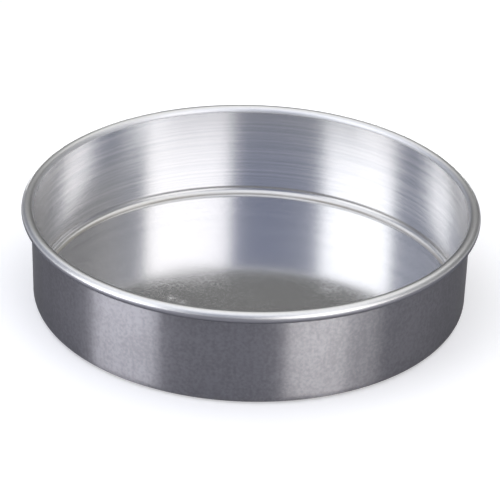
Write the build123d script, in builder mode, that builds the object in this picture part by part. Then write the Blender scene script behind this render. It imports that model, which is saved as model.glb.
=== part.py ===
"""Round cake tin: one drawn sheet shell, with its rim rolled outward over a ring of steel wire."""

import os
from math import acos, cos, degrees, radians, sin, tan

from build123d import *

# Driving dimensions, in millimetres and degrees
mouth_diameter = 228.6   # inside the wall at its top: a 9 in tin
overall_height = 54.5    # from the underside of the base to the top of the bead
sheet = 1.0              # thickness of the drawn sheet
corner_radius = 3.9      # inside, where the base turns up into the wall
wall_draft = 0.35        # degrees that the wall leans outward from upright
bead_diameter = 6.0      # over the rolled rim
wire_clearance = 0.1     # between the wire and the sheet rolled round it
curl_gap = 0.15          # between the rolled edge and the outside of the wall
wire_gap = 1.5           # between the two cut ends of the wire ring
wire_gap_side = 90.0     # degrees round from +X to that gap, which lies at the back

# The rolled rim, worked out from the values above
bead_radius = bead_diameter / 2
curl_radius = bead_radius - sheet
wire_radius = curl_radius - wire_clearance
lean = radians(wall_draft)
bead_centre_radius = mouth_diameter / 2 + bead_radius * cos(lean)
bead_centre_height = overall_height - bead_radius
curl_angle = 360 - degrees(acos((curl_radius - curl_gap) / bead_radius))

# Where the two faces of the wall run into the bead, as distances from the axis and the base
inner_top = (
    bead_centre_radius - bead_radius * cos(lean),
    bead_centre_height + bead_radius * sin(lean),
)
outer_top = (
    bead_centre_radius - curl_radius * cos(lean),
    bead_centre_height + curl_radius * sin(lean),
)

# Where the same two faces would meet the two faces of the base, if the corner were sharp
inner_foot = (inner_top[0] - (inner_top[1] - sheet) * tan(lean), sheet)
outer_foot = (outer_top[0] - outer_top[1] * tan(lean), 0)

os.makedirs("parts", exist_ok=True)

# Tin body: the section of the sheet, turned round the axis
with BuildPart() as tin_body:
    with BuildSketch(Plane.XZ):
        with BuildLine():
            # underside of the base, outside of the wall and inside of the curl
            outer = FilletPolyline((0, 0), outer_foot, outer_top, radius=corner_radius + sheet)
            curl = JernArc(outer @ 1, outer % 1, curl_radius, -curl_angle)
            # top of the base, inside of the wall and outside of the bead
            inner = FilletPolyline((0, sheet), inner_foot, inner_top, radius=corner_radius)
            bead = JernArc(inner @ 1, inner % 1, bead_radius, -curl_angle)
            # the rolled edge of the sheet, and the axis
            Line(curl @ 1, bead @ 1)
            Line(outer @ 0, inner @ 0)
        make_face()
    revolve(axis=Axis.Z)

tin_body.part.label = "tin_body"
export_step(tin_body.part, "parts/tin_body.step")

# Rim wire: a ring that fills the bead, with a small gap between its cut ends
wire_gap_angle = degrees(wire_gap / bead_centre_radius)

with BuildPart() as rim_wire:
    with BuildSketch(Plane.XZ.rotated((0, 0, wire_gap_side + wire_gap_angle / 2))):
        with Locations((bead_centre_radius, bead_centre_height)):
            Circle(wire_radius)
    revolve(axis=Axis.Z, revolution_arc=360 - wire_gap_angle)

rim_wire.part.label = "rim_wire"
export_step(rim_wire.part, "parts/rim_wire.step")

for piece in (tin_body.part, rim_wire.part):
    box = piece.bounding_box()
    print(
        f"{piece.label}: {box.size.X:.2f} x {box.size.Y:.2f} x {box.size.Z:.2f} mm,"
        f" {len(piece.solids())} solid, {piece.volume:.0f} mm3"
    )
print(f"the bead turns {curl_angle:.1f} degrees round a wire {2 * wire_radius:.2f} mm thick")
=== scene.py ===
"""Looks of a round cake tin in bare aluminium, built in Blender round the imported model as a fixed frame."""

import logging
from collections.abc import Callable, Sequence
from dataclasses import dataclass
from enum import Enum
from math import acos, cos, hypot, pi, radians, sin, tan

import bmesh
import bpy
from mathutils import Matrix, Vector


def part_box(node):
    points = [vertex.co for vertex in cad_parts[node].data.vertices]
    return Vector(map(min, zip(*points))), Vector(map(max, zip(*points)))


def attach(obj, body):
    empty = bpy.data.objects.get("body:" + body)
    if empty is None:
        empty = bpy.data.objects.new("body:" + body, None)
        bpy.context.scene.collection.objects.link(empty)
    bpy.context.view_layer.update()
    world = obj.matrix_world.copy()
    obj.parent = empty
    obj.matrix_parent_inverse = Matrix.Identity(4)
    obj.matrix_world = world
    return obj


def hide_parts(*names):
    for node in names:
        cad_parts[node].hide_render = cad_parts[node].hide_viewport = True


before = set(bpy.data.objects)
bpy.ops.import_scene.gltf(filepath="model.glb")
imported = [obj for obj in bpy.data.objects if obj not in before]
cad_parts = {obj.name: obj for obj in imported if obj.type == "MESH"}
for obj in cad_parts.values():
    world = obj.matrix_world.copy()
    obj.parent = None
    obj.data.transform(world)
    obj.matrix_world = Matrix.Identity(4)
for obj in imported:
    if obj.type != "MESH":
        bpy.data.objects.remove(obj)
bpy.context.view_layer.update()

MM = 0.001
WELD = 1e-6             # metres; vertices that lie closer than this become one
LEVEL = 0.999           # how straight up or down the normal of a level face points

log = logging.getLogger("cake_tin")

Colour = tuple[float, float, float]

WHITE = (1.0, 1.0, 1.0)
WARM_WHITE = (1.0, 0.98, 0.9)


class Value:
    """A number that a node gives; Python's operators on it add Math nodes."""

    def __init__(self, sheet: "NodeSheet", socket: bpy.types.NodeSocket) -> None:
        """Keeps the sheet that the number is worked out on, and the socket that gives it."""
        self.sheet = sheet
        self.socket = socket

    def math(self, operation: str, *others: "Value | float") -> "Value":
        """Adds one Math node that starts with this value.

        Args:
            operation: Blender's name of the operation.
            others: the operation's other values.

        Returns:
            The value that the node gives.
        """
        return self.sheet.calculate(operation, self, *others)

    def __add__(self, other: "Value | float") -> "Value":
        """Gives self + other."""
        return self.math("ADD", other)

    __radd__ = __add__

    def __sub__(self, other: "Value | float") -> "Value":
        """Gives self - other."""
        return self.math("SUBTRACT", other)

    def __rsub__(self, other: float) -> "Value":
        """Gives other - self, so that 1 - mask works."""
        return self.sheet.calculate("SUBTRACT", other, self)

    def __mul__(self, other: "Value | float") -> "Value":
        """Gives self * other."""
        return self.math("MULTIPLY", other)

    __rmul__ = __mul__

    def __truediv__(self, other: "Value | float") -> "Value":
        """Gives self / other."""
        return self.math("DIVIDE", other)

    def __pow__(self, other: "Value | float") -> "Value":
        """Gives self ** other."""
        return self.math("POWER", other)

    def ease(self, start: float, end: float) -> "Value":
        """Gives 0 where the value is below start, 1 above end, and an eased step between.

        Args:
            start: where the step begins; it may lie above end, for a step down.
            end: where the step is complete.

        Returns:
            The step, from 0 to 1.
        """
        settings = {"interpolation_type": "SMOOTHSTEP"}
        inputs = {"Value": self, "From Min": start, "From Max": end}
        return Value(self.sheet, self.sheet.node("MapRange", settings, inputs).outputs["Result"])


class NodeSheet:
    """A node tree that a finish is drawn on."""

    def __init__(self, tree: bpy.types.NodeTree) -> None:
        """Takes a node tree, and empties it."""
        self.tree = tree
        self.tree.nodes.clear()

    def node(self, kind: str, settings: dict | None = None, inputs: dict | None = None) -> bpy.types.Node:
        """Adds one node.

        Args:
            kind: Blender's type of the node, without ShaderNode in front.
            settings: the node's own properties, set first; stops are those of a colour ramp.
            inputs: values, or the links of its sockets, by their name or number.

        Returns:
            The node.
        """
        made = self.tree.nodes.new("ShaderNode" + kind)
        for name, setting in (settings or {}).items():
            if name == "stops":
                self.set_stops(made.color_ramp, setting)
            else:
                setattr(made, name, setting)
        for name, given in (inputs or {}).items():
            self.feed(made.inputs[name], given)
        return made

    def feed(self, socket: bpy.types.NodeSocket, given: object) -> None:
        """Links a socket to what is given, or sets it to that.

        Args:
            socket: the input that is fed.
            given: a Value, a node's output socket, or a plain value.
        """
        if isinstance(given, Value):
            self.tree.links.new(given.socket, socket)
        elif isinstance(given, bpy.types.NodeSocket):
            self.tree.links.new(given, socket)
        elif isinstance(given, tuple) and len(given) < len(socket.default_value):
            socket.default_value = (*given, 1)
        else:
            socket.default_value = given

    @staticmethod
    def set_stops(ramp: bpy.types.ColorRamp, stops: Sequence[tuple[float, Colour]]) -> None:
        """Gives a colour ramp its stops.

        Args:
            ramp: a new colour ramp, with its two first stops.
            stops: places from 0 to 1, each with its colour.
        """
        for _ in stops[2:]:
            ramp.elements.new(1)
        for element, (place, colour) in zip(ramp.elements, stops, strict=True):
            element.position = place
            element.color = (*colour, 1)

    def calculate(self, operation: str, *values: "Value | float") -> Value:
        """Adds one Math node.

        Args:
            operation: Blender's name of the operation.
            values: what it works with, in the order of the node's sockets.

        Returns:
            What it works out.
        """
        made = self.node("Math", {"operation": operation}, dict(enumerate(values)))
        return Value(self, made.outputs[0])

    def place(self) -> tuple[Value, Value, Value]:
        """Gives the three coordinates on the piece, in metres."""
        where = self.node("TexCoord").outputs["Object"]
        parts = self.node("SeparateXYZ", inputs={"Vector": where}).outputs
        return Value(self, parts["X"]), Value(self, parts["Y"]), Value(self, parts["Z"])

    def vector(self, x: "Value | float", y: "Value | float", z: "Value | float") -> bpy.types.NodeSocket:
        """Gives the vector of three values."""
        return self.node("CombineXYZ", inputs={"X": x, "Y": y, "Z": z}).outputs["Vector"]

    def noise(self, where: bpy.types.NodeSocket, scale: float = 1, detail: float = 2) -> Value:
        """Adds a noise pattern.

        Args:
            where: the coordinates that it is drawn on.
            scale: how many blotches lie side by side in one unit of those.
            detail: how many finer layers lie over it.

        Returns:
            The noise, which spreads from 0 to 1 round 0.5.
        """
        inputs = {"Vector": where, "Scale": scale, "Detail": detail}
        return Value(self, self.node("TexNoise", None, inputs).outputs["Fac"])

    def drawn_out(self, across: float, up: float, detail: float = 0) -> Value:
        """Adds a noise pattern that is drawn out along one direction.

        Args:
            across: how many blotches lie side by side in a metre, on the level.
            up: how many lie on top of each other in a metre.
            detail: how many finer layers lie over it.

        Returns:
            The noise, which spreads from 0 to 1 round 0.5.
        """
        x, y, z = self.place()
        return self.noise(self.vector(x * across, y * across, z * up), detail=detail)

    def seen(self) -> Value:
        """Gives 1 for rays that show the surroundings, straight or in metal, and 0 for the others."""
        rays = self.node("LightPath").outputs
        straight = Value(self, rays["Is Camera Ray"])
        mirrored = straight + Value(self, rays["Is Glossy Ray"])
        return (mirrored + Value(self, rays["Is Transmission Ray"])).math("MINIMUM", 1)

    def blend(self, share: "Value | float", first: object, second: object) -> bpy.types.NodeSocket:
        """Mixes two colours.

        Args:
            share: how much of the second colour shows, from 0 to 1.
            first: a colour, or the socket of one.
            second: the other colour.

        Returns:
            The mixed colour.
        """
        inputs = {"Factor": share, 6: first, 7: second}
        return self.node("Mix", {"data_type": "RGBA"}, inputs).outputs[2]


def new_material(name: str) -> tuple[bpy.types.Material, NodeSheet]:
    """Makes an empty material, and gives it with the sheet that its nodes are drawn on."""
    made = bpy.data.materials.new(name)
    made.use_nodes = True
    return made, NodeSheet(made.node_tree)


def add_object(name: str, data: bpy.types.ID) -> bpy.types.Object:
    """Makes an object from its mesh, lamp or camera, and puts it in the scene."""
    made = bpy.data.objects.new(name, data)
    bpy.context.scene.collection.objects.link(made)
    return made


@dataclass(frozen=True)
class Metal:
    """A bare metal finish. The scales of its pattern are in blotches to a metre."""

    name: str
    tone: Colour = (0.84, 0.84, 0.84)
    roughness: float = 0.25
    streak: float = 0.0     # how far its highlights are drawn out upright
    edge: float = 1.0       # how bright it is where it is seen at a low angle

    def material(self) -> bpy.types.Material:
        """Makes the material from the finish's pattern."""
        made, sheet = new_material(self.name)
        inputs = {
            "Metallic": 1.0,
            "Anisotropic": self.streak,
            "Anisotropic Rotation": 0.25,
            "Specular Tint": (self.edge, self.edge, self.edge),
            **self.pattern(sheet),
        }
        shader = sheet.node("BsdfPrincipled", None, inputs)
        sheet.node("OutputMaterial", None, {"Surface": shader.outputs["BSDF"]})
        return made

    def pattern(self, sheet: NodeSheet) -> dict:
        """Draws what changes over the surface, and gives it by the name of the shader's socket."""
        return {"Base Color": self.tone, "Roughness": self.roughness}

    def shade(self, share: float) -> Colour:
        """Gives the tone, darkened to a share of itself."""
        return tuple(share * part for part in self.tone)


@dataclass(frozen=True)
class TurnedWall(Metal):
    """The inside of the wall, with fine lines round it from the turning tool."""

    line_tone: Colour = (0.8, 0.8, 0.8)
    broad_scale: float = 240
    fine_scale: float = 760
    fine_share: float = 0.82        # of the fine lines in the pattern
    relief: float = 0.03            # how much the roughness differs between the lines

    def pattern(self, sheet: NodeSheet) -> dict:
        """Draws lines that run round the wall, broad ones under fine ones."""
        broad = sheet.drawn_out(across=4, up=self.broad_scale)
        fine = sheet.drawn_out(across=8, up=self.fine_scale)
        lines = (broad * (1 - self.fine_share) + fine * self.fine_share).ease(0.25, 0.75)
        return {
            "Base Color": sheet.blend(lines, self.line_tone, self.tone),
            "Roughness": self.roughness + (lines - 0.5) * self.relief,
        }


@dataclass(frozen=True)
class Scuff:
    """A round place on the base that use has rubbed dull, most in its middle."""

    x: float
    y: float
    radius: float
    depth: float = 0.25     # how much rougher it is in its middle


@dataclass(frozen=True)
class MottledBase(Metal):
    """The base, with the mottled grain of drawn sheet: pale, dull specks on a darker, smoother ground."""

    dull: float = 0.18              # roughness of the specks
    ground: float = 0.95            # tone between the specks, as a share of theirs
    grain_scale: float = 750
    cloud_scale: float = 22
    gathering: float = 0.5          # how far the dull specks gather in the clouds
    scuffs: tuple[Scuff, ...] = ()

    def pattern(self, sheet: NodeSheet) -> dict:
        """Draws the specks, which are dullest in larger clouds, and the scuffs over them."""
        x, y, z = sheet.place()
        where = sheet.vector(x, y, z)
        cloud = sheet.noise(where, self.cloud_scale, 3)
        grain = sheet.noise(where, self.grain_scale)
        specks = (grain + (cloud - 0.5) * self.gathering).ease(0.33, 0.77)
        roughness = self.roughness + specks * (self.dull - self.roughness)
        for scuff in self.scuffs:
            away = ((x - scuff.x) ** 2 + (y - scuff.y) ** 2) ** 0.5
            roughness = roughness + away.ease(scuff.radius, 0) * cloud * scuff.depth
        return {
            "Base Color": sheet.blend(grain.ease(0.3, 0.7), self.shade(self.ground), self.tone),
            "Roughness": roughness,
        }


@dataclass(frozen=True)
class ShadedCorner(Metal):
    """The rounded corner inside, smooth and bright, with a thin line of painted shade at its foot."""

    # tone of the painted shade along the corner's foot
    foot_shade: Colour = (0.42, 0.4, 0.37)
    foot: float = 1.0 * MM          # height of the corner's foot, where the painted shade is darkest
    solid: float = 0.2 * MM         # how far above the foot it starts to fade
    faded: float = 0.5 * MM         # and how far above it is gone
    patch_scale: float = 30
    least: float = 0.4              # how strong the painted shade is between its patches
    line_roughening: float = 0.1              # how much rougher the painted shade line is than the metal

    def pattern(self, sheet: NodeSheet) -> dict:
        """Draws the painted shade line at the corner's foot, which fades in and out round the tin."""
        x, y, z = sheet.place()
        patches = sheet.noise(sheet.vector(x, y, z), self.patch_scale).ease(0.35, 0.65)
        line = z.ease(self.foot + self.faded, self.foot + self.solid)
        # painted shade: a dark line along the foot of the corner, in patches
        foot_shade_mask = line * (patches * (1 - self.least) + self.least)
        return {
            "Base Color": sheet.blend(foot_shade_mask, self.tone, self.foot_shade),
            "Roughness": self.roughness + foot_shade_mask * self.line_roughening,
        }


@dataclass(frozen=True)
class RolledRim(Metal):
    """The bead: smooth and bright on top, and on its underside rougher, with painted shade as dark as the
    outside of the wall.
    """

    middle: float = 51.5 * MM       # height of the bead's middle
    ring: float = 117.3 * MM        # distance of its middle from the axis
    # tone of the painted shade on the bead's underside
    underside_shade: Colour = (0.15, 0.15, 0.17)
    flank: Colour = (0.9, 0.9, 0.895)       # of the side towards the inside, where the wall runs into it
    tilt: float = 0.3               # how steeply the change to dull rises outward
    dull_shade_from: float = 0.8 * MM     # where the change to dull, painted shade begins, measured up from the middle
    dull_shade_to: float = -0.5 * MM      # and where it ends
    flank_from: float = -1.7 * MM   # where the change to the flank begins, measured outward from the middle
    flank_to: float = -2.6 * MM     # and where it ends
    grain_scale: float = 500
    ground: float = 0.96            # tone between the specks, as a share of theirs
    rougher: float = 0.1            # how much rougher the underside and the flank are than the top

    def pattern(self, sheet: NodeSheet) -> dict:
        """Draws the brighter inner side, and the change to dull, painted shade just below the widest part of
        the bead.
        """
        x, y, z = sheet.place()
        grain = sheet.noise(sheet.vector(x, y, z), self.grain_scale)
        outward = (x * x + y * y) ** 0.5 - self.ring
        below = z - self.middle - outward * self.tilt
        # painted shade and more roughness, below the widest part of the bead
        dull = below.ease(self.dull_shade_from, self.dull_shade_to)
        top = sheet.blend(grain.ease(0.3, 0.7), self.shade(self.ground), self.tone)
        inner = outward.ease(self.flank_from, self.flank_to)
        return {
            "Base Color": sheet.blend(dull, sheet.blend(inner, top, self.flank), self.underside_shade),
            "Roughness": self.roughness + dull * self.rougher + inner * self.rougher,
        }


@dataclass(frozen=True)
class GrainedSide(Metal):
    """The outside of the wall: duller, with a mottled grain and faint upright drag marks."""

    ground: float = 0.78            # tone between the marks, as a share of theirs
    grain_scale: float = 600
    cloud_scale: float = 55
    grain_share: float = 0.5        # of the grain in the marks
    drag_share: float = 0.15
    cloud_share: float = 0.35
    relief: float = 0.03 * MM       # how high the marks stand
    patchy: float = 0.12            # how much the roughness differs between the clouds

    def pattern(self, sheet: NodeSheet) -> dict:
        """Draws the grain, with marks that the drawing die dragged up the wall."""
        where = sheet.vector(*sheet.place())
        grain = sheet.noise(where, self.grain_scale, 3)
        drag = sheet.drawn_out(across=400, up=25, detail=2)
        cloud = sheet.noise(where, self.cloud_scale, 3)
        marks = grain * self.grain_share + drag * self.drag_share + cloud * self.cloud_share
        bump = sheet.node("Bump", None, {"Strength": 1.0, "Distance": self.relief, "Height": marks})
        return {
            "Base Color": sheet.blend(marks.ease(0.38, 0.62), self.shade(self.ground), self.tone),
            "Roughness": self.roughness + (cloud - 0.5) * self.patchy,
            "Normal": bump.outputs["Normal"],
        }


class Zone(Enum):
    """The parts of the shell that carry different finishes."""

    BASE = MottledBase(
        "base_inside", tone=(0.81, 0.81, 0.81), roughness=0.105,
        scuffs=(
            Scuff(-41 * MM, -13 * MM, 5 * MM),
            Scuff(-35 * MM, -17 * MM, 5 * MM),
            Scuff(42 * MM, 1 * MM, 8 * MM, 0.08),
            Scuff(-30 * MM, 8 * MM, 45 * MM, 0.07),
        ),
    )
    CORNER = ShadedCorner("corner_inside", tone=(0.62, 0.615, 0.6), roughness=0.26)
    WALL = TurnedWall("wall_inside", tone=(0.905, 0.897, 0.89), roughness=0.25, streak=0.45)
    BEAD = RolledRim("rolled_rim", tone=(0.68, 0.68, 0.675), roughness=0.37, edge=0.3)
    # The outside's tone is painted far darker than the inside's, as painted shade for dark surroundings
    # mirrored in its metal.
    SIDE = GrainedSide("wall_outside", tone=(0.185, 0.182, 0.2), roughness=0.37, streak=1.0, edge=0.5)
    UNDERSIDE = MottledBase("base_underside", roughness=0.3, dull=0.45)


class SectionPen:
    """Draws a section in the XZ plane, as a chain of edges that grows from its last point."""

    def __init__(self, x: float, z: float) -> None:
        """Puts down the first point."""
        self.mesh = bmesh.new()
        self.tip = bmesh.ops.create_vert(self.mesh, co=(x, 0, z))["vert"][0]

    def line(self, x: float, z: float, pieces: int = 1) -> None:
        """Draws a straight run.

        Args:
            x: distance of its end from the axis.
            z: height of its end.
            pieces: how many edges it has.
        """
        start = self.tip.co.copy()
        end = Vector((x, 0, z))
        for number in range(1, pieces + 1):
            grown = bmesh.ops.extrude_vert_indiv(self.mesh, verts=[self.tip])
            self.tip = grown["verts"][0]
            self.tip.co = start.lerp(end, number / pieces)

    def run(self, x: float, z: float, pieces: int, margin: float = 0.4 * MM) -> None:
        """Draws a straight run with a short edge at both ends, which keeps the shading of it flat.

        Args:
            x: distance of its end from the axis.
            z: height of its end.
            pieces: how many edges it has between the two short ones.
            margin: length of the short ones.
        """
        start = self.tip.co.copy()
        end = Vector((x, 0, z))
        step = (end - start).normalized() * margin
        near, far = start + step, end - step
        self.line(near.x, near.z)
        self.line(far.x, far.z, pieces)
        self.line(x, z)

    def arc(self, x: float, z: float, angle: float, steps: int) -> None:
        """Draws a round run.

        Args:
            x: distance of its centre from the axis.
            z: height of its centre.
            angle: how far it turns, clockwise as seen with the axis on the left and up on top.
            steps: how many edges it has.
        """
        spun = bmesh.ops.spin(
            self.mesh, geom=[self.tip], cent=(x, 0, z), axis=(0, 1, 0), angle=angle, steps=steps
        )
        self.tip = spun["geom_last"][0]


def sort_parts(parts: bmesh.types.BMVertSeq | bmesh.types.BMEdgeSeq | bmesh.types.BMFaceSeq,
               key: Callable) -> None:
    """Sorts the corners, edges or faces of a mesh.

    Args:
        parts: the mesh's own sequence of them.
        key: gives what one of them is sorted by.
    """
    rank = {part: place for place, part in enumerate(sorted(parts, key=key))}
    parts.sort(key=rank.get)
    parts.index_update()


def put_in_order(mesh: bmesh.types.BMesh) -> None:
    """Sorts all parts of a mesh, since spin leaves them in another order each run."""
    sort_parts(mesh.verts, lambda corner: corner.co[:])
    for parts in (mesh.edges, mesh.faces):
        sort_parts(parts, lambda part: sorted(corner.index for corner in part.verts))


@dataclass
class CakeTin:
    """The tin, one drawn shell with its rim rolled over a ring of wire, in metres and radians."""

    height: float
    rim_radius: float
    bead_centre_height: float
    sheet: float = 1.0 * MM
    corner_radius: float = 3.9 * MM
    curl_gap: float = 0.15 * MM
    draft: float = radians(0.35)
    turns: int = 512        # steps of the shell round its axis
    wedges: int = 32        # it is spun as one wedge of some steps, and the wedge is copied round
    corner_steps: int = 10
    bead_steps: int = 44
    base_rings: int = 16
    wall_rings: int = 8

    @classmethod
    def from_frame(cls) -> "CakeTin":
        """Reads the tin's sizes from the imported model: the rim from its box, the bead from the wire's."""
        low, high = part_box("tin_body")
        wire_low, wire_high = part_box("rim_wire")
        return cls(high.z - low.z, high.x, (wire_low.z + wire_high.z) / 2)

    @property
    def bead_radius(self) -> float:
        """Outside radius of the rolled rim."""
        return self.height - self.bead_centre_height

    @property
    def curl_radius(self) -> float:
        """Inside radius of the rolled rim, in which the wire lies."""
        return self.bead_radius - self.sheet

    @property
    def bead_centre_radius(self) -> float:
        """Distance from the axis to the middle of the rolled rim."""
        return self.rim_radius - self.bead_radius

    @property
    def curl_angle(self) -> float:
        """How far the rim is rolled, until its edge nearly meets the wall again."""
        return 2 * pi - acos((self.curl_radius - self.curl_gap) / self.bead_radius)

    def corner(self, wall_x: float, floor_z: float, radius: float) -> tuple[float, float, float]:
        """Works out a rounded corner between a level face and the leaning wall.

        Args:
            wall_x: where the wall's face would meet the level face, if the corner were sharp.
            floor_z: height of the level face.
            radius: of the round.

        Returns:
            The centre's distance from the axis, its height, and the angle that the round turns.
        """
        turn = pi / 2 - self.draft
        return wall_x - radius * tan(turn / 2), floor_z + radius, turn

    def section(self) -> bmesh.types.BMesh:
        """Draws the section of the sheet: inside, over the rolled rim, and back down the outside."""
        lean_x, lean_z = cos(self.draft), sin(self.draft)
        bead_x, bead_z = self.bead_centre_radius, self.bead_centre_height
        inner_top = Vector((bead_x - self.bead_radius * lean_x, bead_z + self.bead_radius * lean_z))
        outer_top = Vector((bead_x - self.curl_radius * lean_x, bead_z + self.curl_radius * lean_z))
        inner_foot = inner_top.x - (inner_top.y - self.sheet) * tan(self.draft)
        outer_foot = outer_top.x - outer_top.y * tan(self.draft)
        outer_corner = self.corner_radius + self.sheet

        pen = SectionPen(0, self.sheet)
        x, z, turn = self.corner(inner_foot, self.sheet, self.corner_radius)
        pen.run(x, self.sheet, self.base_rings)
        pen.arc(x, z, -turn, self.corner_steps)
        pen.run(*inner_top, self.wall_rings)
        pen.arc(bead_x, bead_z, self.curl_angle, self.bead_steps)
        edge = Vector((pen.tip.co.x - bead_x, pen.tip.co.z - bead_z)) * self.curl_radius / self.bead_radius
        pen.line(bead_x + edge.x, bead_z + edge.y)
        pen.arc(bead_x, bead_z, -self.curl_angle, self.bead_steps)
        x, z, turn = self.corner(outer_foot, 0, outer_corner)
        pen.run(x + outer_corner * lean_x, z - outer_corner * lean_z, self.wall_rings)
        pen.arc(x, z, turn, self.corner_steps)
        pen.run(0, 0, self.base_rings)
        return pen.mesh

    def spin(self, mesh: bmesh.types.BMesh) -> None:
        """Turns the section into the shell: first one wedge of it, and then copies of that wedge."""
        wedge = 2 * pi / self.wedges
        bmesh.ops.spin(
            mesh, geom=mesh.verts[:] + mesh.edges[:], cent=(0, 0, 0), axis=(0, 0, 1),
            angle=wedge, steps=self.turns // self.wedges,
        )
        bmesh.ops.spin(
            mesh, geom=mesh.verts[:] + mesh.edges[:] + mesh.faces[:], cent=(0, 0, 0), axis=(0, 0, 1),
            angle=2 * pi - wedge, steps=self.wedges - 1, use_duplicate=True,
        )
        bmesh.ops.remove_doubles(mesh, verts=mesh.verts, dist=WELD)
        bmesh.ops.recalc_face_normals(mesh, faces=mesh.faces)
        put_in_order(mesh)

    def zone(self, face: bmesh.types.BMFace) -> Zone:
        """Finds the part of the shell that a face belongs to, by where it lies and which way it faces."""
        middle = face.calc_center_median()
        across = hypot(middle.x, middle.y)
        mid_sheet = self.bead_centre_radius - self.bead_radius + self.sheet / 2
        if hypot(across - self.bead_centre_radius, middle.z - self.bead_centre_height) < self.bead_radius:
            return Zone.BEAD
        if face.normal.z > LEVEL:
            return Zone.BASE
        if face.normal.z < -LEVEL:
            return Zone.UNDERSIDE
        facing = face.normal.x * middle.x + face.normal.y * middle.y
        if facing > 0 or across > mid_sheet:
            return Zone.SIDE
        return Zone.CORNER if middle.z < self.sheet + self.corner_radius else Zone.WALL

    def build_shell(self) -> bpy.types.Object:
        """Spins the section round the axis, and dresses each zone of the shell in its finish."""
        mesh = self.section()
        self.spin(mesh)
        order = list(Zone)
        for face in mesh.faces:
            face.smooth = True
            face.material_index = order.index(self.zone(face))
        data = bpy.data.meshes.new("tin_shell")
        mesh.to_mesh(data)
        mesh.free()
        shell = add_object("tin_shell", data)
        for zone in order:
            data.materials.append(zone.value.material())
        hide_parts("tin_body")
        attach(shell, "root")
        log.info("tin_shell: %d faces", len(data.polygons))
        return shell

    def dress_wire(self) -> bpy.types.Object:
        """Gives the ring of wire in the rim its zinc coat."""
        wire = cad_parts["rim_wire"]
        finish = MottledBase("galvanised_wire", tone=(0.6, 0.61, 0.62), roughness=0.4, dull=0.55)
        wire.data.materials.clear()
        wire.data.materials.append(finish.material())
        log.info("rim_wire: %d faces", len(wire.data.polygons))
        return wire


def direction(azimuth: float, elevation: float) -> Vector:
    """Gives the direction out from the tin.

    Args:
        azimuth: degrees round from the side that faces the camera, to its right.
        elevation: degrees above the table.

    Returns:
        A vector of length 1.
    """
    level = cos(radians(elevation))
    return Vector((
        sin(radians(azimuth)) * level,
        -cos(radians(azimuth)) * level,
        sin(radians(elevation)),
    ))


@dataclass(frozen=True)
class Viewpoint:
    """The photograph's camera, which looks down on the tin from in front of it."""

    distance: float = 1.203      # from the middle of the base, in metres
    elevation: float = 29.6      # degrees above the table
    aim_height: float = 0.0244   # of the point on the axis that it looks at
    roll: float = 1.67           # degrees that it leans
    lens: float = 161.4          # mm
    sensor: float = 36.0         # mm

    def set_up(self) -> bpy.types.Object:
        """Makes the camera and gives it to the scene."""
        data = bpy.data.cameras.new("photo_camera")
        data.lens = self.lens
        data.sensor_width = self.sensor
        camera = add_object("photo_camera", data)
        camera.location = direction(0, self.elevation) * self.distance
        look = Vector((0, 0, self.aim_height)) - camera.location
        turned = look.to_track_quat("-Z", "Y").to_matrix() @ Matrix.Rotation(radians(self.roll), 3, "Z")
        camera.rotation_euler = turned.to_euler()
        bpy.context.scene.camera = camera
        return camera


@dataclass(frozen=True)
class SoftBox:
    """A flat lamp that faces the tin. Angles are in degrees, as seen from the tin."""

    name: str
    azimuth: float
    elevation: float
    wide: float
    high: float
    radiance: float
    tint: Colour = WHITE
    distance: float = 1.7

    @classmethod
    def low_strip(cls, name: str, azimuth: float, wide: float, radiance: float,
                  tint: Colour = WHITE) -> "SoftBox":
        """Gives a low lamp close by, which the outside of the tin mirrors as a bright patch.

        Args:
            name: of the lamp.
            azimuth: degrees round from the side that faces the camera, to its right.
            wide: how wide it looks, in degrees.
            radiance: how bright it looks.
            tint: its colour.

        Returns:
            The lamp, just above the table.
        """
        return cls(name, azimuth, 3.5, wide, 6.8, radiance, tint, distance=0.42)

    def set_up(self) -> bpy.types.Object:
        """Hangs the lamp in its place."""
        light = bpy.data.lights.new(self.name, "AREA")
        light.shape = "RECTANGLE"
        light.size = 2 * self.distance * tan(radians(self.wide) / 2)
        light.size_y = 2 * self.distance * tan(radians(self.high) / 2)
        light.energy = self.radiance * pi * light.size * light.size_y
        light.color = self.tint
        lamp = add_object(self.name, light)
        out = direction(self.azimuth, self.elevation)
        lamp.location = out * self.distance
        lamp.rotation_euler = out.to_track_quat("Z", "Y").to_euler()
        return lamp


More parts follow.
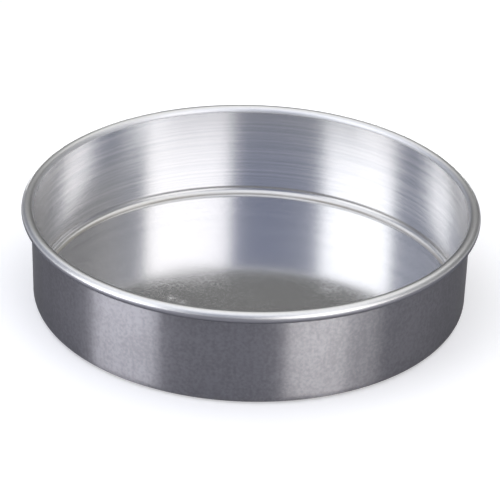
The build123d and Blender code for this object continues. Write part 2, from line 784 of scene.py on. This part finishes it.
@dataclass(frozen=True)
class Studio:
    """A pale table in a grey tent, lit by a lamp overhead, two panels in front and low strips round it."""

    tent_radius: float = 2.6
    floor_tone: Colour = (0.84, 0.84, 0.84)
    floor_glow: float = 0.27
    world_light: float = 0.3
    cloth: tuple[tuple[float, Colour], ...] = (     # tones of the tent, from its back to its front
        (0.0, (0.2, 0.2, 0.2)),
        (0.3, (0.22, 0.22, 0.23)),
        (0.5, (0.36, 0.36, 0.375)),
        (0.8, (0.31, 0.33, 0.41)),
        (1.0, (0.21, 0.237, 0.348)),
    )
    left_cloth: Colour = (0.345, 0.375, 0.485)
    left_share: float = 0.8         # how much of the left cloth's tone shows at the far left
    lamps: tuple[SoftBox, ...] = (
        SoftBox("right_panel", azimuth=37.3, elevation=22, wide=44.6, high=42, radiance=1.45,
                tint=(1.0, 0.975, 0.955)),
        SoftBox("left_panel", azimuth=-64.5, elevation=22, wide=41, high=42, radiance=1.45),
        SoftBox("overhead", azimuth=180, elevation=84, wide=90, high=86, radiance=1.0),
        SoftBox.low_strip("right_strip", azimuth=29.5, wide=26, radiance=23, tint=WARM_WHITE),
        SoftBox.low_strip("far_right_strip", azimuth=50.5, wide=16, radiance=8, tint=WARM_WHITE),
        SoftBox.low_strip("left_strip", azimuth=-54.5, wide=32, radiance=21),
        SoftBox.low_strip("back_right_strip", azimuth=159, wide=22, radiance=21),
        SoftBox.low_strip("back_left_strip", azimuth=-156, wide=26, radiance=21),
    )

    def set_up(self) -> None:
        """Builds the whole studio."""
        self.lay_floor()
        self.pitch_tent()
        self.light_world()
        for lamp in self.lamps:
            lamp.set_up()

    def stage(self, name: str, mesh: bmesh.types.BMesh, material: bpy.types.Material) -> bpy.types.Object:
        """Makes an object of the studio, which isn't part of the tin.

        Args:
            name: of the object.
            mesh: its shape, which is used up.
            material: what it is made of.

        Returns:
            The object.
        """
        data = bpy.data.meshes.new(name)
        mesh.to_mesh(data)
        mesh.free()
        data.materials.append(material)
        made = add_object(name, data)
        return made

    def lay_floor(self) -> None:
        """Lays the pale table top."""
        mesh = bmesh.new()
        bmesh.ops.create_circle(mesh, cap_ends=True, segments=96, radius=self.tent_radius)
        material, sheet = new_material("pale_floor")
        lit = sheet.node("BsdfDiffuse", None, {"Color": self.floor_tone})
        glow = sheet.node("Emission", None, {"Strength": self.floor_glow * sheet.seen()})
        both = sheet.node("AddShader", None, {0: lit.outputs["BSDF"], 1: glow.outputs["Emission"]})
        sheet.node("OutputMaterial", None, {"Surface": both.outputs["Shader"]})
        self.stage("floor", mesh, material)

    def pitch_tent(self) -> None:
        """Pitches the tent round the table, which only the metal sees."""
        mesh = bmesh.new()
        bmesh.ops.create_uvsphere(mesh, u_segments=64, v_segments=32, radius=self.tent_radius)
        geometry = mesh.verts[:] + mesh.edges[:] + mesh.faces[:]
        bmesh.ops.bisect_plane(
            mesh, geom=geometry, plane_co=(0, 0, 0), plane_no=(0, 0, 1), clear_inner=True
        )
        bmesh.ops.reverse_faces(mesh, faces=mesh.faces)
        material, sheet = new_material("grey_tent")
        shader = sheet.node("Emission", None, {"Color": self.tent_tone(sheet), "Strength": 1.0})
        sheet.node("OutputMaterial", None, {"Surface": shader.outputs["Emission"]})
        tent = self.stage("tent", mesh, material)
        tent.visible_camera = False
        tent.visible_shadow = False

    def tent_tone(self, sheet: NodeSheet) -> bpy.types.NodeSocket:
        """Draws the tent's cloth, which changes from the back to the front and towards the left."""
        x, y, _ = sheet.place()
        across = (x * x + y * y + 0.01) ** 0.5      # never 0, so that the top of the tent has a tone too
        front = y * -1 / across
        left = (x * -1 / across).ease(0.3, 1.0)
        cloth = sheet.node("ValToRGB", {"stops": self.cloth}, {"Fac": front * 0.5 + 0.5})
        return sheet.blend(left * self.left_share, cloth.outputs["Color"], self.left_cloth)

    def light_world(self) -> None:
        """Makes the world white where it is seen, and dimmer where it lights."""
        world = bpy.data.worlds.new("studio")
        bpy.context.scene.world = world
        world.use_nodes = True
        sheet = NodeSheet(world.node_tree)
        strength = self.world_light + (1 - self.world_light) * sheet.seen()
        shader = sheet.node("Background", None, {"Color": WHITE, "Strength": strength})
        sheet.node("OutputWorld", None, {"Surface": shader.outputs["Background"]})


def main() -> None:
    """Builds the camera, the tin and the studio."""
    logging.basicConfig(level=logging.INFO, format="%(name)s: %(message)s")
    bpy.context.scene.view_settings.view_transform = "Standard"
    Viewpoint().set_up()
    tin = CakeTin.from_frame()
    tin.build_shell()
    tin.dress_wire()
    Studio().set_up()


if __name__ == "__main__":
    main()
